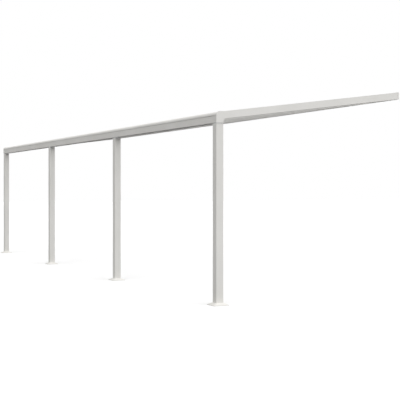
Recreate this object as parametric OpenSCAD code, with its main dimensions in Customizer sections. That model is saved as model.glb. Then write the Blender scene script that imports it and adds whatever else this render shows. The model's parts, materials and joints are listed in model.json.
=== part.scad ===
// Lean-to pergola frame in powder-coated aluminium sections.
// Four posts carry a gutter beam along the front, a wall plate runs along the house wall,
// and sloping rafters span from one to the other.
// X runs along the front, Y runs back to the wall and Z is up.
// The origin is on the wall plate's back face, at the middle of its length and height.

/* [Overall size] */
// Length over the gutter's end caps
frame_length = 11740; // [9000:10:13000]
// From the wall to the front of the end caps
projection = 3120; // [2400:5:3600]
// From the ground to the underside of the gutter
clear_height = 2500; // [2200:5:2800]
// Slope of the rafters in degrees
roof_pitch = 7.6; // [5:0.1:10]

/* [Posts] */
// Width of a post
post_width = 110; // [90:1:120]
// Wall thickness of a post
post_wall = 3; // [2:0.5:5]
// Outside corner radius of a post
post_corner = 5; // [4:1:18]
// How far the end posts stand in from the outer faces of the end caps
post_inset = 10; // [4:1:40]
// Height of the shadow gap between a post and the gutter
head_gap = 7; // [4:1:12]
// Width of the plug's neck inside the shadow gap
head_neck_width = 86; // [60:1:94]
// How far the head plug reaches down into a post
head_plug_depth = 110; // [60:5:160]
// Wall thickness of the head plug and of the foot's spigot
plug_wall = 3; // [2:0.5:5]

/* [Feet] */
// Width of the square base plate under a post
foot_plate_width = 176; // [168:1:190]
// Thickness of the base plate
foot_plate_thickness = 6; // [5:1:8]
// Corner radius of the base plate
foot_plate_corner = 10; // [4:1:20]
// Distance between anchor holes
anchor_spacing = 136; // [132:1:142]
// Diameter of an anchor hole
anchor_hole = 11; // [9:0.5:12]
// Height of the spigot that stands up inside a post
foot_spigot_height = 120; // [60:5:160]
// Width of the loose cover round a post's foot
foot_cover_width = 230; // [220:5:260]
// Height of the cover, up to the post
foot_cover_height = 32; // [31:1:60]
// Height of the cover's upright rim
foot_cover_rim = 5; // [4:1:12]
// Sheet thickness of the cover
foot_cover_wall = 2; // [1:0.5:3]

/* [Gutter] */
// Depth of the gutter beam from front to back
gutter_depth = 108; // [100:1:130]
// Height of the gutter beam at its rounded nose
gutter_height = 154; // [150:1:170]
// Wall thickness of the gutter
gutter_wall = 3; // [2:0.5:4]
// Inside radius of the gutter's two lower edges
gutter_bend = 0.5; // [0.5:0.5:6]
// Height of the flat front face below the shadow groove
gutter_face_height = 93; // [75:1:96]
// Height of the shadow groove
groove_height = 8; // [4:1:12]
// Depth of the shadow groove
groove_depth = 8; // [4:1:12]
// Outside radius of the rounded nose
nose_radius = 44; // [30:1:46]
// Height of the gutter's back wall, where the rafters land
gutter_back_height = 57; // [52:1:75]
// Width of the rafters' seat along the top of the back wall
gutter_seat_width = 26; // [18:1:34]
// Height of the lip that hangs down behind the nose
nose_lip = 12; // [8:1:20]
// Thickness of an end cap
cap_thickness = 10; // [6:1:14]
// How far an end cap stands proud of the gutter's front face
cap_lip = 4; // [2:1:8]
// Radius of an end cap's upper front corner
cap_radius = 55; // [50:1:65]
// Radius of the fillet between an end cap and the rafter
cap_fillet = 14; // [8:1:24]
// How far the cap laps up over the rafter's side above the fillet
cap_lap = 11; // [6:1:20]
// Length of the joint sleeve inside the gutter
sleeve_length = 160; // [100:10:240]
// Height of the joint sleeve
sleeve_height = 45; // [20:1:48]
// Wall thickness of the joint sleeve
sleeve_wall = 2.5; // [2:0.5:4]

/* [Rafters] */
// Width of a rafter
rafter_width = 60; // [50:1:70]
// Depth of a rafter, square to its slope
rafter_depth = 103; // [90:1:110]
// Wall thickness of a rafter
rafter_wall = 2.5; // [2:0.5:4]
// How far a rafter's front end stays back from the edge of its seat
rafter_setback = 2; // [1:0.5:5]
// Width of the narrow rib under a rafter
rib_width = 28; // [20:1:44]
// Depth of the narrow rib
rib_depth = 6; // [4:1:16]
// Width of the screw groove along the top
screw_groove_width = 8; // [5:1:12]
// Depth of the screw groove
screw_groove_depth = 7; // [4:1:10]

/* [Wall plate] */
// Depth of the wall plate
plate_depth = 30; // [26:1:45]
// Thickness of its back web
plate_web = 4; // [3:0.5:6]
// Thickness of the flange over the rafters
plate_wall = 3; // [2:0.5:4]
// Thickness of the shelf under the rafters
plate_shelf = 4; // [3:0.5:6]
// Height of the whole wall plate
plate_height = 108; // [104:1:125]
// Thickness of the plate's end caps
plate_cap_thickness = 3; // [2:0.5:10]
// Diameter of a wall bolt hole
wall_bolt_hole = 11; // [8:0.5:14]
// Distance between the upper and lower row of wall bolts
wall_bolt_rows = 50; // [30:1:60]

/* [Fits] */
// Clearance round a plug or sleeve
fit_gap = 0.3; // [0.2:0.1:0.5]
// Gap between two lengths of the same section
butt_gap = 1; // [0.5:0.5:3]

/* [Hidden] */
$fn = 48;
// how far a cutting shape runs past what it cuts
overcut = 1;
// smallest radius inside a corner
least_radius = 1;

coat = [0.93, 0.93, 0.91];
raw_metal = [0.72, 0.73, 0.74];

// places along the front
post_count = 4;
rafter_bays = 12;
half_length = frame_length / 2;
section_reach = half_length - cap_thickness;
post_reach = half_length - post_inset - post_width / 2;
post_spacing = 2 * post_reach / (post_count - 1);
rafter_reach = section_reach - rafter_width / 2;
rafter_spacing = 2 * rafter_reach / rafter_bays;
plate_joint = 2 * rafter_spacing;
gutter_joint = post_spacing / 2;

// places from front to back
gutter_front = -projection + cap_lip;
gutter_back = gutter_front + gutter_depth;
post_middle = gutter_front + post_width / 2;
rafter_front = gutter_back - gutter_seat_width + rafter_setback;
rafter_back = -plate_web - fit_gap;

// heights, measured from the ground
slope = tan(roof_pitch);
seat_level = clear_height + gutter_back_height;
rafter_rise = rafter_depth / cos(roof_pitch);
shelf_level = seat_level + (rafter_back - gutter_back) * slope;
plate_bottom = shelf_level - plate_shelf;
plate_middle = plate_bottom + plate_height / 2;
post_bottom = foot_plate_thickness;
post_top = clear_height - head_gap;
cap_depth = gutter_depth + cap_lip;
cap_height = gutter_back_height + rafter_rise;

// outside radii where the gutter and the sleeve inside it bend up
gutter_corner = gutter_bend + gutter_wall;
sleeve_corner = gutter_bend + sleeve_wall;

// the inside of a post and of what plugs into it
post_bore = post_width - 2 * post_wall;
bore_corner = inner_radius(post_corner, post_wall);
plug_width = post_bore - 2 * fit_gap;

function inner_radius(outer, wall) = max(outer - wall, least_radius);
function post_x(n) = -post_reach + n * post_spacing;
function rafter_x(n) = -rafter_reach + n * rafter_spacing;

// puts a piece built up from the ground into the frame of the wall plate's back face
module placed() {
    translate([0, 0, -plate_middle]) children();
}

// a section drawn with its depth along Y and its height along Z, run from one X to another
module run_along_x(from, to) {
    translate([from, 0, 0]) rotate([90, 0, 90]) linear_extrude(to - from) children();
}

module rounded_square(width, radius) {
    square([width - 2 * radius, width], center = true);
    square([width, width - 2 * radius], center = true);
    for (x = [-1, 1], y = [-1, 1])
        translate([x, y] * (width / 2 - radius)) circle(radius);
}

// a square tube that fits inside a post
module plug_tube() {
    difference() {
        rounded_square(plug_width, bore_corner);
        rounded_square(plug_width - 2 * plug_wall, inner_radius(bore_corner, plug_wall));
    }
}

module post(n) {
    color(coat) translate([post_x(n), post_middle, post_bottom])
        linear_extrude(post_top - post_bottom) difference() {
            rounded_square(post_width, post_corner);
            rounded_square(post_bore, bore_corner);
        }
}

// a hollow plug with a closed top, and a narrower neck that carries the gutter over the gap
module post_head(n) {
    color(raw_metal) translate([post_x(n), post_middle, post_top]) {
        translate([0, 0, -head_plug_depth]) linear_extrude(head_plug_depth - plug_wall) plug_tube();
        translate([0, 0, -plug_wall]) linear_extrude(plug_wall) rounded_square(plug_width, bore_corner);
        linear_extrude(head_gap) rounded_square(head_neck_width, bore_corner);
    }
}

module foot_plate(n) {
    color(raw_metal) translate([post_x(n), post_middle, 0]) {
        difference() {
            linear_extrude(foot_plate_thickness) rounded_square(foot_plate_width, foot_plate_corner);
            for (x = [-1, 1], y = [-1, 1])
                translate([x * anchor_spacing / 2, y * anchor_spacing / 2, -overcut])
                    cylinder(h = foot_plate_thickness + 2 * overcut, d = anchor_hole);
        }
        translate([0, 0, foot_plate_thickness]) linear_extrude(foot_spigot_height) plug_tube();
    }
}

// a block with an upright rim and four sloping sides, from a wide base to a narrow top
module low_pyramid(base, top, rim, height) {
    hull() {
        translate([0, 0, rim / 2]) cube([base, base, rim], center = true);
        translate([0, 0, height - rim / 2]) cube([top, top, rim], center = true);
    }
}

module foot_cover(n) {
    hole = post_width + 2 * fit_gap;
    color(coat) translate([post_x(n), post_middle, 0]) difference() {
        low_pyramid(foot_cover_width, hole + 2 * foot_cover_wall, foot_cover_rim, foot_cover_height);
        translate([0, 0, -foot_cover_wall])
            low_pyramid(foot_cover_width - 2 * foot_cover_wall, hole, foot_cover_rim, foot_cover_height);
        translate([0, 0, -overcut]) linear_extrude(foot_cover_height + 2 * overcut)
            rounded_square(hole, post_corner + fit_gap);
    }
}

// a quarter of a ring that bulges down and to the front, drawn about its own centre
module lower_bend(radius, wall) {
    intersection() {
        difference() {
            circle(radius);
            circle(radius - wall);
        }
        translate([-radius, -radius]) square(radius);
    }
}

// a floor whose two edges bend up to the walls beside it
module bent_floor(width, radius, wall) {
    translate([radius, 0]) square([width - 2 * radius, wall]);
    translate([radius, radius]) lower_bend(radius, wall);
    translate([width - radius, radius]) mirror([1, 0]) lower_bend(radius, wall);
}

// the gutter's section, from its lower front edge
module gutter_section() {
    nose_base = gutter_height - nose_radius;
    groove_top = gutter_face_height + groove_height;
    groove_back = groove_depth + gutter_wall;
    // floor, back wall and the seat turned forward over the channel
    bent_floor(gutter_depth, gutter_corner, gutter_wall);
    translate([gutter_depth - gutter_wall, gutter_corner])
        square([gutter_wall, gutter_back_height - gutter_corner]);
    translate([gutter_depth - gutter_seat_width, gutter_back_height - gutter_wall])
        square([gutter_seat_width, gutter_wall]);
    // flat face and the groove over it
    translate([0, gutter_corner]) square([gutter_wall, gutter_face_height - gutter_corner]);
    translate([0, gutter_face_height - gutter_wall]) square([groove_back, gutter_wall]);
    translate([groove_depth, gutter_face_height - gutter_wall])
        square([gutter_wall, groove_height + 2 * gutter_wall]);
    translate([0, groove_top]) square([groove_back, gutter_wall]);
    // nose, and the lip turned down behind it
    translate([0, groove_top]) square([gutter_wall, nose_base - groove_top]);
    translate([nose_radius, nose_base]) mirror([0, 1]) lower_bend(nose_radius, gutter_wall);
    translate([nose_radius, gutter_height - gutter_wall]) square([2 * gutter_wall, gutter_wall]);
    translate([nose_radius + gutter_wall, gutter_height - nose_lip]) square([gutter_wall, nose_lip]);
}

module gutter(from, to) {
    color(coat) translate([0, gutter_front, clear_height]) run_along_x(from, to) gutter_section();
}

// a channel that lies in the gutter across a joint
module gutter_sleeve(side) {
    width = gutter_depth - 2 * gutter_wall - 2 * fit_gap;
    color(raw_metal)
        translate([side * gutter_joint, gutter_front + gutter_wall + fit_gap, clear_height + gutter_wall])
            run_along_x(-sleeve_length / 2, sleeve_length / 2) {
                bent_floor(width, sleeve_corner, sleeve_wall);
                for (edge = [0, width - sleeve_wall])
                    translate([edge, sleeve_corner]) square([sleeve_wall, sleeve_height - sleeve_corner]);
            }
}

// an end cap's outline, from its lower front edge
module cap_outline() {
    square([cap_depth, cap_height - cap_radius]);
    translate([cap_radius, 0]) square([cap_depth - cap_radius, cap_height]);
    translate([cap_radius, cap_height - cap_radius]) circle(cap_radius);
    // corner under the rafter
    translate([cap_depth, gutter_back_height - cap_fillet]) difference() {
        translate([-overcut, 0]) square([cap_fillet + overcut, cap_fillet + cap_lap]);
        translate([cap_fillet, 0]) circle(cap_fillet);
    }
}

module gutter_end_cap(side) {
    outer = side * half_length;
    inner = side * section_reach;
    color(coat) translate([0, -projection, clear_height])
        run_along_x(min(outer, inner), max(outer, inner)) cap_outline();
}

// a rafter's section, with its underside at zero
module rafter_section() {
    difference() {
        translate([-rafter_width / 2, 0]) square([rafter_width, rafter_depth]);
        translate([-rafter_width / 2 + rafter_wall, rafter_wall])
            square([rafter_width - 2 * rafter_wall, rafter_depth - 2 * rafter_wall]);
    }
    // walls of the screw groove
    for (side = [-1, 1])
        translate([side * (screw_groove_width + rafter_wall) / 2 - rafter_wall / 2,
                   rafter_depth - rafter_wall - screw_groove_depth])
            square([rafter_wall, screw_groove_depth + rafter_wall / 2]);
}

module rib_section() {
    difference() {
        translate([-rib_width / 2, -rib_depth]) square([rib_width, rib_depth]);
        translate([-rib_width / 2 + rafter_wall, -rib_depth + rafter_wall])
            square([rib_width - 2 * rafter_wall, rib_depth - rafter_wall]);
    }
}

// a section run up the slope from the gutter's back edge, between two upright planes
module run_up_slope(front, back) {
    length = (back - front) / cos(roof_pitch) + 2 * rafter_depth;
    intersection() {
        translate([0, gutter_back, seat_level]) rotate([roof_pitch, 0, 0])
            translate([0, (front - gutter_back) / cos(roof_pitch) - rafter_depth + length, 0])
                rotate([90, 0, 0]) linear_extrude(length) children();
        translate([-rafter_width, front, 0]) cube([2 * rafter_width, back - front, 2 * clear_height]);
    }
}

module rafter(n) {
    color(coat) translate([rafter_x(n), 0, 0]) {
        difference() {
            run_up_slope(rafter_front, rafter_back) rafter_section();
            // level seats over the gutter and on the wall plate's shelf
            translate([-rafter_width, rafter_front - overcut, seat_level - rafter_depth])
                cube([2 * rafter_width, gutter_back - rafter_front + overcut, rafter_depth]);
            translate([-rafter_width, -plate_depth, shelf_level - rafter_depth])
                cube([2 * rafter_width, plate_depth, rafter_depth]);
            // level top under the wall plate's upper flange
            translate([-rafter_width, -plate_depth - fit_gap, plate_bottom + plate_height - plate_wall - fit_gap])
                cube([2 * rafter_width, plate_depth + fit_gap, rafter_depth]);
        }
        run_up_slope(gutter_back + fit_gap, -plate_depth - fit_gap) rib_section();
    }
}

// the wall plate's section, from the foot of its back face
module plate_section() {
    translate([-plate_web, 0]) square([plate_web, plate_height]);
    translate([-plate_depth, 0]) square([plate_depth, plate_shelf]);
    translate([-plate_depth, plate_height - plate_wall]) square([plate_depth, plate_wall]);
}

module wall_plate(from, to) {
    color(coat) difference() {
        translate([0, 0, plate_bottom]) run_along_x(from, to) plate_section();
        for (bay = [0 : rafter_bays - 1], row = [-1, 1])
            translate([rafter_x(bay + 0.5), overcut, plate_middle + row * wall_bolt_rows / 2])
                rotate([90, 0, 0]) cylinder(h = plate_web + 2 * overcut, d = wall_bolt_hole);
    }
}

module wall_plate_end_cap(side) {
    outer = side * (section_reach + plate_cap_thickness);
    inner = side * section_reach;
    color(coat) translate([0, -plate_depth, plate_bottom])
        run_along_x(min(outer, inner), max(outer, inner)) square([plate_depth, plate_height]);
}

placed() post(0);  // post_left_end
placed() post(1);  // post_left_middle
placed() post(2);  // post_right_middle
placed() post(3);  // post_right_end
placed() post_head(0);  // post_head_left_end
placed() post_head(1);  // post_head_left_middle
placed() post_head(2);  // post_head_right_middle
placed() post_head(3);  // post_head_right_end
placed() foot_plate(0);  // foot_plate_left_end
placed() foot_plate(1);  // foot_plate_left_middle
placed() foot_plate(2);  // foot_plate_right_middle
placed() foot_plate(3);  // foot_plate_right_end
placed() foot_cover(0);  // foot_cover_left_end
placed() foot_cover(1);  // foot_cover_left_middle
placed() foot_cover(2);  // foot_cover_right_middle
placed() foot_cover(3);  // foot_cover_right_end
placed() gutter(-section_reach, -gutter_joint - butt_gap / 2);  // gutter_left
placed() gutter(-gutter_joint + butt_gap / 2, gutter_joint - butt_gap / 2);  // gutter_middle
placed() gutter(gutter_joint + butt_gap / 2, section_reach);  // gutter_right
placed() gutter_sleeve(-1);  // gutter_sleeve_left
placed() gutter_sleeve(1);  // gutter_sleeve_right
placed() gutter_end_cap(-1);  // gutter_end_cap_left
placed() gutter_end_cap(1);  // gutter_end_cap_right
placed() rafter(0);  // rafter_left_end
placed() rafter(1);  // rafter_1
placed() rafter(2);  // rafter_2
placed() rafter(3);  // rafter_3
placed() rafter(4);  // rafter_4
placed() rafter(5);  // rafter_5
placed() rafter(6);  // rafter_6
placed() rafter(7);  // rafter_7
placed() rafter(8);  // rafter_8
placed() rafter(9);  // rafter_9
placed() rafter(10);  // rafter_10
placed() rafter(11);  // rafter_11
placed() rafter(12);  // rafter_right_end
placed() wall_plate(-section_reach, -plate_joint - butt_gap / 2);  // wall_plate_left
placed() wall_plate(-plate_joint + butt_gap / 2, plate_joint - butt_gap / 2);  // wall_plate_middle
placed() wall_plate(plate_joint + butt_gap / 2, section_reach);  // wall_plate_right
placed() wall_plate_end_cap(-1);  // wall_plate_end_cap_left
placed() wall_plate_end_cap(1);  // wall_plate_end_cap_right
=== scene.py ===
import json
import math

import bpy
import numpy as np
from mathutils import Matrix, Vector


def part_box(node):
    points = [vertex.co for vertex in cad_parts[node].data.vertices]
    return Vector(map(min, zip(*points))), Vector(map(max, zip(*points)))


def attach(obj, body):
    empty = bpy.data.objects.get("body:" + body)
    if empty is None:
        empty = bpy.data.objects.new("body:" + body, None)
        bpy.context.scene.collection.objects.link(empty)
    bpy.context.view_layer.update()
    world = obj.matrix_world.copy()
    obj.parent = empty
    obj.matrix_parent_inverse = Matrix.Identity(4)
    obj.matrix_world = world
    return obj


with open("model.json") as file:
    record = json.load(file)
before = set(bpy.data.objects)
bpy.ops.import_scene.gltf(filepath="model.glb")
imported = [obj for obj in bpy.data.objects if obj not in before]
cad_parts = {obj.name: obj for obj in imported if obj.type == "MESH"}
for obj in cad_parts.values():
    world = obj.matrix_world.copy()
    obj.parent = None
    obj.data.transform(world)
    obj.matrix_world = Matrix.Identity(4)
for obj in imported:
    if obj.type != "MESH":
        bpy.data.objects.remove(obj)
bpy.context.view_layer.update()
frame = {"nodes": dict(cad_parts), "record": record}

scene = bpy.context.scene
print("frame loaded:", len(frame["nodes"]), "nodes")

# the ground is at the underside of the foot plates
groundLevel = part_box("foot_plate_left_end")[0].z
millimetres = 1000  # in a metre

# one colour blends into the other between these values of the noise
blendStart = 0.35
blendEnd = 0.65


def newMaterial(name):
    material = bpy.data.materials.new(name)
    material.use_nodes = True
    tree = material.node_tree
    tree.nodes.clear()
    output = tree.nodes.new("ShaderNodeOutputMaterial")
    shader = tree.nodes.new("ShaderNodeBsdfPrincipled")
    tree.links.new(shader.outputs["BSDF"], output.inputs["Surface"])
    return material, tree, shader


def noiseOn(tree, scale, detail, stretch=(1, 1, 1)):
    # noise over Object coordinates, stretched by a Mapping node
    place = tree.nodes.new("ShaderNodeTexCoord")
    mapping = tree.nodes.new("ShaderNodeMapping")
    mapping.inputs["Scale"].default_value = stretch
    noise = tree.nodes.new("ShaderNodeTexNoise")
    noise.inputs["Scale"].default_value = scale
    noise.inputs["Detail"].default_value = detail
    tree.links.new(place.outputs["Object"], mapping.inputs["Vector"])
    tree.links.new(mapping.outputs["Vector"], noise.inputs["Vector"])
    return noise.outputs["Fac"]


def colourRamp(tree, source, low, high):
    ramp = tree.nodes.new("ShaderNodeValToRGB")
    ramp.color_ramp.elements[0].position = blendStart
    ramp.color_ramp.elements[0].color = (*low, 1)
    ramp.color_ramp.elements[1].position = blendEnd
    ramp.color_ramp.elements[1].color = (*high, 1)
    tree.links.new(source, ramp.inputs["Fac"])
    return ramp.outputs["Color"]


def mapRange(tree, source, fromLow, fromHigh, toLow, toHigh):
    scaled = tree.nodes.new("ShaderNodeMapRange")
    scaled.inputs["From Min"].default_value = fromLow
    scaled.inputs["From Max"].default_value = fromHigh
    scaled.inputs["To Min"].default_value = toLow
    scaled.inputs["To Max"].default_value = toHigh
    tree.links.new(source, scaled.inputs["Value"])
    return scaled.outputs["Result"]


def product(tree, first, second):
    times = tree.nodes.new("ShaderNodeMath")
    times.operation = "MULTIPLY"
    tree.links.new(first, times.inputs[0])
    tree.links.new(second, times.inputs[1])
    return times.outputs["Value"]


def addBump(tree, shader, height, strength, depth):
    bump = tree.nodes.new("ShaderNodeBump")
    bump.inputs["Strength"].default_value = strength
    bump.inputs["Distance"].default_value = depth
    tree.links.new(height, bump.inputs["Height"])
    tree.links.new(bump.outputs["Normal"], shader.inputs["Normal"])


# white coat on the posts, gutter, rafters, wall plate and foot covers
powderCoat = {
    "pale": (0.803, 0.794, 0.768),
    "dull": (0.773, 0.764, 0.736),
    "cloudScale": 1.7,
    "cloudDetail": 4.0,
    "smooth": 0.60,  # roughness of the glossier patches
    "chalky": 0.68,  # roughness of the duller patches
    "gloss": 0.12,
    "peelScale": 420.0,  # grains of the orange peel, about 2.4 mm across
    "peelDetail": 2.0,
    "peelStrength": 0.35,
    "peelDepth": 0.00006,
    "bottomTone": (0.60, 0.57, 0.50),  # darker, warmer colour that the coat takes towards the ground
    "bottomToneHeight": 0.28,
    "bottomToneScale": 55.0,
    "bottomToneDetail": 3.0,
    "bottomToneNoise": (0.3, 0.7),  # values of the noise where this darker colour is thinnest and thickest
    "bottomToneLeast": 0.4,  # share of this darker colour that is left where it is thinnest
    "bottomToneMost": 0.18,
}


def makePowderCoat(spec):
    material, tree, shader = newMaterial("whitePowderCoat")
    cloud = noiseOn(tree, spec["cloudScale"], spec["cloudDetail"])
    coat = colourRamp(tree, cloud, spec["dull"], spec["pale"])
    # the coat is darker and warmer towards the ground; this fades out upwards and is broken up by fine
    # noise
    place = tree.nodes.new("ShaderNodeTexCoord")
    split = tree.nodes.new("ShaderNodeSeparateXYZ")
    tree.links.new(place.outputs["Object"], split.inputs["Vector"])
    top = groundLevel + spec["bottomToneHeight"]
    nearGround = mapRange(tree, split.outputs["Z"], groundLevel, top, spec["bottomToneMost"], 0)
    specks = noiseOn(tree, spec["bottomToneScale"], spec["bottomToneDetail"])
    patchy = mapRange(tree, specks, *spec["bottomToneNoise"], spec["bottomToneLeast"], 1)
    bottomToned = tree.nodes.new("ShaderNodeMix")
    bottomToned.data_type = "RGBA"
    tree.links.new(product(tree, nearGround, patchy), bottomToned.inputs["Factor"])
    tree.links.new(coat, bottomToned.inputs["A"])
    bottomToned.inputs["B"].default_value = (*spec["bottomTone"], 1)
    tree.links.new(bottomToned.outputs["Result"], shader.inputs["Base Color"])
    roughness = mapRange(tree, cloud, blendStart, blendEnd, spec["chalky"], spec["smooth"])
    tree.links.new(roughness, shader.inputs["Roughness"])
    shader.inputs["Specular IOR Level"].default_value = spec["gloss"]
    peel = noiseOn(tree, spec["peelScale"], spec["peelDetail"])
    addBump(tree, shader, peel, spec["peelStrength"], spec["peelDepth"])
    return material


# bare aluminium of the post heads, foot plates and gutter sleeves
millMetal = {
    "pale": (0.66, 0.67, 0.68),
    "dull": (0.55, 0.56, 0.57),
    "roughness": 0.38,
    "grainScale": 60.0,
    "grainStretch": (0.05, 1, 1),  # drawn out along the length
    "grainDetail": 3.0,
    "grainStrength": 0.4,
    "grainDepth": 0.00003,
}


def makeMillMetal(spec):
    material, tree, shader = newMaterial("millAluminium")
    drawn = noiseOn(tree, spec["grainScale"], spec["grainDetail"], spec["grainStretch"])
    tree.links.new(colourRamp(tree, drawn, spec["dull"], spec["pale"]), shader.inputs["Base Color"])
    shader.inputs["Metallic"].default_value = 1.0
    shader.inputs["Roughness"].default_value = spec["roughness"]
    addBump(tree, shader, drawn, spec["grainStrength"], spec["grainDepth"])
    return material


# zinc plating on the bolts, nuts, washers and screws
zincPlate = {
    "pale": (0.70, 0.71, 0.72),
    "dull": (0.52, 0.53, 0.55),
    "roughness": 0.34,
    "spangleScale": 260.0,
    "spangleDetail": 2.0,
    "spangleStrength": 0.3,
    "spangleDepth": 0.00004,
}


def makeZincPlate(spec):
    material, tree, shader = newMaterial("zincPlate")
    spangle = noiseOn(tree, spec["spangleScale"], spec["spangleDetail"])
    tree.links.new(colourRamp(tree, spangle, spec["dull"], spec["pale"]), shader.inputs["Base Color"])
    shader.inputs["Metallic"].default_value = 1.0
    shader.inputs["Roughness"].default_value = spec["roughness"]
    addBump(tree, shader, spangle, spec["spangleStrength"], spec["spangleDepth"])
    return material


slotMaterials = {"white_coat": makePowderCoat(powderCoat), "bare_metal": makeMillMetal(millMetal)}
zinc = makeZincPlate(zincPlate)
print("materials ready")

for part in frame["record"]["subparts"]:
    node = frame["nodes"][part["node"]]
    node.data.materials.clear()
    node.data.materials.append(slotMaterials[part["material_slot"]])
print("CAD nodes dressed")


def turned(rows, sides, closed):
    # rows of (radius, height, hexagon) turned about Z: a point is (r cos a, r sin a, h). Where
    # hexagon is 1, r is divided by the cosine of the angle from the middle of the nearest flat.
    # A closed profile makes a ring, and an open one a solid with flat ends.
    radius, height, hexagon = np.array(rows, float).T
    angle = np.arange(sides) * 2 * np.pi / sides
    fromFlat = (angle + np.pi / 6) % (np.pi / 3) - np.pi / 6
    reach = radius[:, None] * (1 + hexagon[:, None] * (1 / np.cos(fromFlat) - 1))
    up = np.repeat(height[:, None], sides, axis=1)
    points = np.stack([reach * np.cos(angle), reach * np.sin(angle), up], axis=-1).reshape(-1, 3)
    grid = np.arange(len(rows) * sides).reshape(-1, sides)
    if closed:
        grid = np.vstack([grid, grid[:1]])
    beside = np.roll(grid, -1, axis=1)
    quads = np.stack([grid[:-1], beside[:-1], beside[1:], grid[1:]], axis=-1).reshape(-1, 4)
    ends = np.zeros((0, sides), int) if closed else np.stack([grid[0, ::-1], grid[-1]])
    return points, quads, ends


def turnedOnto(axis):
    # rows are the directions that the shape's own X, Y and Z take
    up = np.array(axis, float)
    upright = abs(up[2]) > abs(up[1])
    aside = np.cross((0, 1, 0) if upright else (0, 0, 1), up)
    return np.stack([aside, np.cross(up, aside), up])


# points round a fastener: every corner of a hexagon and the middle of every flat is one
fastenerSides = 12


def makeFasteners(name, parts, places, axis):
    # each part is a closed shell, and one copy of each stands at every place along the axis
    points, faces, start = [], [], 0
    for rows, closed in parts:
        shape, quads, ends = turned(rows, fastenerSides, closed)
        copies = np.array(places)[:, None] + shape @ turnedOnto(axis)
        step = start + np.arange(len(places))[:, None, None] * len(shape)
        points.append(copies.reshape(-1, 3))
        faces += (quads + step).reshape(-1, 4).tolist()
        faces += (ends + step).reshape(-1, fastenerSides).tolist()
        start += len(points[-1])
    mesh = bpy.data.meshes.new(name)
    mesh.from_pydata(np.vstack(points).tolist(), [], faces)
    mesh.materials.append(zinc)
    piece = bpy.data.objects.new(name, mesh)
    scene.collection.objects.link(piece)
    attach(piece, "root")


# how heads and nuts are rounded off, as shares of half the width across their flats
rounding = {
    "edge": 0.1,  # height of the rounded edge
    "edgeMiddle": 0.05,
    "hexagonLeft": 0.4,  # how much of the hexagon is left at the edge's middle
    "headFace": 0.9,
    "nutFace": 0.93,
}


# each of these shapes gives its rows, and whether its profile is closed
def washer(spec):
    # flat ring that lies on zero
    outer = spec["washerRadius"]
    inner = spec["boltRadius"] + spec["play"]
    top = spec["washerThickness"]
    return [(outer, 0, 0), (outer, top, 0), (inner, top, 0), (inner, 0, 0)], True


def hexHead(spec, bottom, shankEnd):
    # hexagon head whose edge is rounded off, with its shank
    flat = spec["flats"] / 2
    top = bottom + spec["headHeight"]
    shank = spec["boltRadius"]
    return [(shank, shankEnd, 0), (shank, bottom, 0), (flat, bottom, 1),
            (flat, top - rounding["edge"] * flat, 1),
            (flat, top - rounding["edgeMiddle"] * flat, rounding["hexagonLeft"]),
            (rounding["headFace"] * flat, top, 0)], False


def hexNut(spec, bottom):
    # hexagon nut with a bore and both faces rounded off
    flat = spec["flats"] / 2
    top = bottom + spec["headHeight"]
    bore = spec["boltRadius"] + spec["play"]
    face = rounding["nutFace"] * flat
    edge = rounding["edge"] * flat
    return [(face, bottom, 0), (flat, bottom + edge, 1), (flat, top - edge, 1),
            (face, top, 0), (bore, top, 0), (bore, bottom, 0)], True


def threadedStud(spec, bottom, top):
    # a rod whose radius steps between crest and root once each pitch
    crest = spec["boltRadius"]
    root = crest - spec["threadDepth"]
    count = int((top - bottom) / spec["pitch"])
    heights = bottom + np.arange(2 * count) * spec["pitch"] / 2
    radii = np.where(np.arange(2 * count) % 2, crest, root)
    rod = [(radius, height, 0) for radius, height in zip(radii, heights)]
    return rod + [(root, top, 0)], False


def panHead(spec):
    # low domed head under a short shank: a quarter of an ellipse turned about the axis
    bend = np.linspace(0, np.pi / 2, spec["domeSteps"])[:-1]
    dome = [(spec["headRadius"] * math.cos(a), -spec["headHeight"] * math.sin(a), 0) for a in bend]
    hub = spec["screwRadius"]
    tip = spec["tipShare"] * spec["headRadius"]
    return [(tip, -spec["headHeight"], 0), *dome[::-1], (hub, 0, 0), (hub, spec["screwLength"], 0)], False


def halfSpacing(mount, direction):
    # half of the distance between a bolt pattern's holes, in metres
    return mount["dims"]["spacing_" + direction + "_mm"] / 2 / millimetres


# bolts that hold the foot plates down, hidden by the foot covers
anchorBolt = {
    "boltRadius": 0.005,
    "play": 0.0003,
    "flats": 0.017,
    "headHeight": 0.008,
    "washerRadius": 0.010,
    "washerThickness": 0.002,
    "pitch": 0.0015,
    "threadDepth": 0.0006,
    "standsOut": 0.0175,  # end of the stud over the ground
}


def makeAnchorBolts(spec):
    # one bolt in each corner of each foot plate, where the record's mounts say
    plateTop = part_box("post_left_end")[0].z
    places = []
    for mount in frame["record"]["mounts"]:
        if not mount["name"].startswith("anchors_"):
            continue
        x, y = mount["pos_m"][:2]
        halfX = halfSpacing(mount, "x")
        halfY = halfSpacing(mount, "y")
        places += [(x + sx * halfX, y + sy * halfY, plateTop) for sx in (-1, 1) for sy in (-1, 1)]
    thickness = plateTop - groundLevel
    stud = threadedStud(spec, -thickness, spec["standsOut"] - thickness)
    parts = [washer(spec), hexNut(spec, spec["washerThickness"]), stud]
    makeFasteners("anchor_bolts", parts, places, (0, 0, 1))


# bolts through the wall plate's web, between the rafters
wallBolt = {
    "boltRadius": 0.005,
    "play": 0.0003,
    "flats": 0.017,
    "headHeight": 0.0064,
    "washerRadius": 0.0105,
    "washerThickness": 0.002,
    "webThickness": 0.004,
}


def rafterMiddles():
    # X of each rafter's middle plane, from left to right
    boxes = [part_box(name) for name in frame["nodes"] if name.startswith("rafter_")]
    return sorted((low.x + high.x) / 2 for low, high in boxes)


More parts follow.
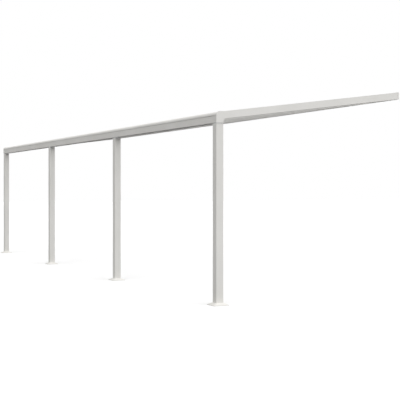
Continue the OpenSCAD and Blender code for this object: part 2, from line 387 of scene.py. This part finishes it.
def makeWallBolts(spec):
    # one bolt over another, midway between each two rafters
    mounts = {mount["name"]: mount for mount in frame["record"]["mounts"]}
    fromMiddle = halfSpacing(mounts["wall_bolts_middle"], "y")
    middles = np.array(rafterMiddles())
    between = (middles[:-1] + middles[1:]) / 2
    places = [(x, -spec["webThickness"], side * fromMiddle) for x in between for side in (-1, 1)]
    parts = [washer(spec), hexHead(spec, spec["washerThickness"], -spec["webThickness"])]
    makeFasteners("wall_bolts", parts, places, (0, -1, 0))


# screws that hold the rafters down, from under the gutter's seat and the wall plate's shelf
rafterScrew = {
    "screwRadius": 0.0021,
    "screwLength": 0.0028,
    "headRadius": 0.0048,
    "headHeight": 0.0032,
    "domeSteps": 6,
    "tipShare": 0.12,  # radius of the dome's flat tip, as a share of the head's
    "apart": 0.036,  # between the two screws of a rafter
    "seatHeight": 0.057,  # from the gutter's underside to the top of its seat
    "seatThickness": 0.003,
    "seatIn": 0.012,  # from the gutter's back to the screws
    "shelfOut": 0.018,  # from the wall to the screws
}


def makeRafterScrews(spec):
    xs = [x + side * spec["apart"] / 2 for x in rafterMiddles() for side in (-1, 1)]
    gutterLow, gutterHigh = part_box("gutter_middle")
    seat = gutterLow.z + spec["seatHeight"] - spec["seatThickness"]
    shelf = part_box("wall_plate_middle")[0].z
    places = [(x, gutterHigh.y - spec["seatIn"], seat) for x in xs]
    places += [(x, -spec["shelfOut"], shelf) for x in xs]
    makeFasteners("rafter_screws", [panHead(spec)], places, (0, 0, 1))


makeAnchorBolts(anchorBolt)
makeWallBolts(wallBolt)
makeRafterScrews(rafterScrew)
print("bolts and screws made")


studio = {
    "floorSize": 200.0,
    "floorDrop": 0.0005,  # keeps the floor clear of the undersides that stand on it
    "floorWhite": 0.98,  # as the camera sees it
    "floorBounce": 0.08,  # as it lights the object
    "skyWhite": 1.0,  # as the camera sees it
    "skyStrength": 0.69,  # as it lights the object
    "sunStrength": 2.01,
    "sunDirection": (0.74, -0.07, 0.67),
    "sunAngle": 100.0,  # degrees across, as soft as a bright sky
}


def seenDirectly(tree):
    # 1 for camera, glossy and transmission rays, and 0 for the rays that light matt surfaces
    rays = tree.nodes.new("ShaderNodeLightPath")
    seen = rays.outputs["Is Camera Ray"]
    for ray in ("Is Glossy Ray", "Is Transmission Ray"):
        larger = tree.nodes.new("ShaderNodeMath")
        larger.operation = "MAXIMUM"
        tree.links.new(seen, larger.inputs[0])
        tree.links.new(rays.outputs[ray], larger.inputs[1])
        seen = larger.outputs["Value"]
    return seen


def mixSeen(tree, bounced, seen, output):
    mix = tree.nodes.new("ShaderNodeMixShader")
    tree.links.new(seenDirectly(tree), mix.inputs["Fac"])
    tree.links.new(bounced, mix.inputs[1])
    tree.links.new(seen, mix.inputs[2])
    tree.links.new(mix.outputs["Shader"], output.inputs["Surface"])


def makeFloor(spec):
    half = spec["floorSize"] / 2
    corners = np.array([(-1, -1), (1, -1), (1, 1), (-1, 1)]) * half
    points = np.column_stack([corners, np.full(len(corners), groundLevel - spec["floorDrop"])])
    mesh = bpy.data.meshes.new("studioFloor")
    mesh.from_pydata(points.tolist(), [], [(0, 1, 2, 3)])
    floor = bpy.data.objects.new("studioFloor", mesh)
    scene.collection.objects.link(floor)
    material = bpy.data.materials.new("paleFloor")
    material.use_nodes = True
    tree = material.node_tree
    tree.nodes.clear()
    output = tree.nodes.new("ShaderNodeOutputMaterial")
    sides = []
    for white in (spec["floorBounce"], spec["floorWhite"]):
        matt = tree.nodes.new("ShaderNodeBsdfDiffuse")
        matt.inputs["Color"].default_value = (white, white, white, 1)
        sides.append(matt.outputs["BSDF"])
    mixSeen(tree, *sides, output)
    floor.data.materials.append(material)


def makeWorld(spec):
    world = bpy.data.worlds.new("studioSky")
    world.use_nodes = True
    scene.world = world
    tree = world.node_tree
    tree.nodes.clear()
    output = tree.nodes.new("ShaderNodeOutputWorld")
    sides = []
    for strength in (spec["skyStrength"], spec["skyWhite"]):
        sky = tree.nodes.new("ShaderNodeBackground")
        sky.inputs["Strength"].default_value = strength
        sky.inputs["Color"].default_value = (1, 1, 1, 1)
        sides.append(sky.outputs["Background"])
    mixSeen(tree, *sides, output)


def makeSun(spec):
    light = bpy.data.lights.new("keyLight", "SUN")
    light.energy = spec["sunStrength"]
    light.angle = math.radians(spec["sunAngle"])
    sun = bpy.data.objects.new("keyLight", light)
    scene.collection.objects.link(sun)
    x, y, z = spec["sunDirection"]
    sun.rotation_euler = (math.atan2(math.hypot(x, y), z), 0, math.atan2(x, -y))


cameraView = {
    "position": (16.874, -8.790),
    "height": 1.578,  # over the ground
    "turn": 63.773,  # degrees to the left of looking straight at the wall
    "focalPixels": 907.0,
    "horizon": 190.12,  # row of the picture
    "pictureSize": 400.0,
    "sensorWidth": 36.0,
    "farthest": 500.0,  # what the camera still sees
}


def makeCamera(spec):
    data = bpy.data.cameras.new("photoCamera")
    camera = bpy.data.objects.new("photoCamera", data)
    scene.collection.objects.link(camera)
    camera.location = (*spec["position"], groundLevel + spec["height"])
    camera.rotation_euler = (math.pi / 2, 0, math.radians(spec["turn"]))
    data.sensor_width = spec["sensorWidth"]
    data.lens = spec["focalPixels"] / spec["pictureSize"] * spec["sensorWidth"]
    data.shift_y = -(spec["pictureSize"] / 2 - spec["horizon"]) / spec["pictureSize"]
    data.clip_end = spec["farthest"]
    scene.camera = camera


makeFloor(studio)
makeWorld(studio)
makeSun(studio)
makeCamera(cameraView)
scene.view_settings.view_transform = "Standard"
print("floor, light and camera ready")
